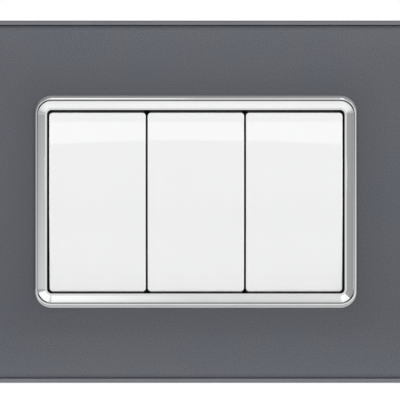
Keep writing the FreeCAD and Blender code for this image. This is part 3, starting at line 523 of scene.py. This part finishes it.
def floor():
    """A plain pale floor at the plate's lower edge, white to the lens and keeping its shadow.

    Its glow along the plate's foot, and its fading in mirrors, are what the plate shows of it.
    """
    look = Look("pale_floor")
    look.use(base_color=look.colours(look.grain(0.4), (0.88, 0.88, 0.88), (0.9, 0.9, 0.9)))
    look.set(roughness=0.9, specular_ior_level=0.0, emission_color=WHITE)
    rays = look.node("ShaderNodeLightPath").outputs
    before = look.math("MULTIPLY", look.axis("Y"), -1.0)
    foot = look.spread(look.math("ABSOLUTE", before), FOOT_GLOW, 0.0, start=0.0, end=FOOT_REACH)
    plain = look.math("ADD", foot, FLOOR_GLOW)
    near = look.spread(before, NEAR_TONE, 1.0, start=NEAR_START, end=NEAR_END)
    distance = look.vector("LENGTH", look.place)
    bright = look.spread(distance, FLOOR_GLOW + MIRROR_LIFT, 0.0, start=FADE_START, end=FADE_END)
    mirrored = look.math("MULTIPLY_ADD", bright, near, foot)
    unseen = look.pick(rays["Is Glossy Ray"], plain, mirrored)
    look.use(emission_strength=look.pick(rays["Is Camera Ray"], unseen, FLOOR_GLOW + FLOOR_LIFT))
    outline = rectangle(-FLOOR_HALF, -FLOOR_HALF, FLOOR_HALF, FLOOR_HALF)
    stage_sheet("floor", [(x, y, FLOOR_Z) for x, y in outline], look.material)


def glow_card(name, distance, outline, strength=1.0, fade=None):
    """A glowing card that far before the panel, which shows only in mirrors.

    A fade gives an axis, the two levels along it and the stretch between them.
    """
    look = Look(name)
    look.set(base_color=BLACK, emission_color=WHITE, emission_strength=strength)
    if fade:
        axis, levels, stretch = fade
        look.use(emission_strength=look.spread(look.axis(axis), *levels, *stretch))
    corners = [(x, PANEL_FRONT - distance, z) for x, z in outline]
    card = stage_sheet(name, corners, look.material)
    card.visible_camera = False
    card.visible_diffuse = False
    card.visible_shadow = False


def key_cards():
    """Two bright cards above the lens; the keys show them as a band with an arched lower edge."""
    distance, half_width = 0.7, 0.3
    low, high, top = 0.0985, 0.146, 0.2
    arch_half, arch_radius, arch_steps = 0.06, 0.146, 24
    arch = []
    for i in range(arch_steps + 1):
        x = -arch_half + 2 * arch_half * i / arch_steps
        arch.append((x, low - arch_radius + math.sqrt(arch_radius ** 2 - x ** 2)))
    left_low, right_low, right_high, left_high = rectangle(-half_width, arch[0][1], half_width, high)
    glow_card("band_card", distance, [left_low, *arch, right_low, right_high, left_high], strength=2.45)
    glow_card("strip_card", distance, rectangle(-half_width, high, half_width, top), strength=0.8)


def front_card():
    """A pale card behind the lens, which the bezel's flat lands mirror."""
    distance, half = 1.1, 0.16
    glow_card("front_card", distance, rectangle(-half, -half, half, half), strength=0.78)


def bezel_cards():
    """Cards beside and above the lens, which the bevel mirrors at its lower corners and its left."""
    distance, near, far = 0.43, 0.42, 1.2
    right_corner = [(0.051, 0.417), (0.146, 1.19), (0.85, 0.85), (1.16, 0.31), (0.405, 0.109)]
    glow_card("right_corner_card", distance, right_corner, strength=1.2)
    left_end = -0.005
    left_corner = [(left_end, near), (left_end, far), (-0.85, 0.85), (-0.3, 0.3)]
    left_fade = ("X", (1.15, 0.8), (-0.06, left_end))
    glow_card("left_corner_card", distance, left_corner, fade=left_fade)
    side_top, fade_half = 0.08, 0.036
    side_fade = ("Z", (0.67, 0.41), (-fade_half, fade_half))
    glow_card("right_side_card", distance, rectangle(near, FLOOR_Z, far, side_top), fade=side_fade)


def softbox(name, place, size, radiance):
    """A square area light of that radiance, aimed at the plate."""
    light = bpy.data.lights.new(name, "AREA")
    light.shape = "SQUARE"
    light.size = size
    light.energy = radiance * math.pi * size * size
    lamp = bpy.data.objects.new(name, light)
    lamp.location = place
    lamp.rotation_euler = (-Vector(place)).to_track_quat("-Z", "Y").to_euler()
    bpy.context.scene.collection.objects.link(lamp)
    lamp.visible_camera = False


def studio_world():
    """White behind the plate for the camera; for other rays a soft room, dimmer on the left."""
    world = bpy.data.worlds.new("studio")
    bpy.context.scene.world = world
    world.use_nodes = True
    tree = world.node_tree
    room, output = tree.nodes["Background"], tree.nodes["World Output"]
    white = tree.nodes.new("ShaderNodeBackground")
    for background in (room, white):
        background.inputs["Color"].default_value = WHITE
    direction = tree.nodes.new("ShaderNodeTexCoord")
    axes = tree.nodes.new("ShaderNodeSeparateXYZ")
    level = tree.nodes.new("ShaderNodeMapRange")
    ends = {"From Min": -ROOM_REACH, "From Max": ROOM_REACH, "To Min": ROOM_LEFT, "To Max": ROOM_RIGHT}
    for name, value in ends.items():
        level.inputs[name].default_value = value
    rays = tree.nodes.new("ShaderNodeLightPath")
    pick = tree.nodes.new("ShaderNodeMixShader")
    links = [
        (direction.outputs["Generated"], axes.inputs["Vector"]),
        (axes.outputs["X"], level.inputs["Value"]),
        (level.outputs["Result"], room.inputs["Strength"]),
        (rays.outputs["Is Camera Ray"], pick.inputs["Fac"]),
        (room.outputs["Background"], pick.inputs[1]),
        (white.outputs["Background"], pick.inputs[2]),
        (pick.outputs["Shader"], output.inputs["Surface"]),
    ]
    for source, target in links:
        tree.links.new(source, target)


def camera():
    """A long lens, square on to the plate."""
    data = bpy.data.cameras.new("camera")
    data.sensor_width = SENSOR_WIDTH
    data.lens = SENSOR_WIDTH * CAMERA_DISTANCE / FRAME_WIDTH
    data.clip_start = CLIP_START
    eye = bpy.data.objects.new("camera", data)
    eye.location = (AIM_X, PANEL_FRONT - CAMERA_DISTANCE, AIM_Z)
    eye.rotation_euler = (math.radians(90), 0, 0)
    bpy.context.scene.collection.objects.link(eye)
    bpy.context.scene.camera = eye


def build():
    """The dressed plate on its stage."""
    dress_plate()
    dress_switches()
    dress_steel()
    floor()
    studio_world()
    key_cards()
    front_card()
    bezel_cards()
    for name, place, size, radiance in SOFTBOXES:
        softbox(name, place, size, radiance)
    camera()
    bpy.context.scene.view_settings.view_transform = "Standard"


build()
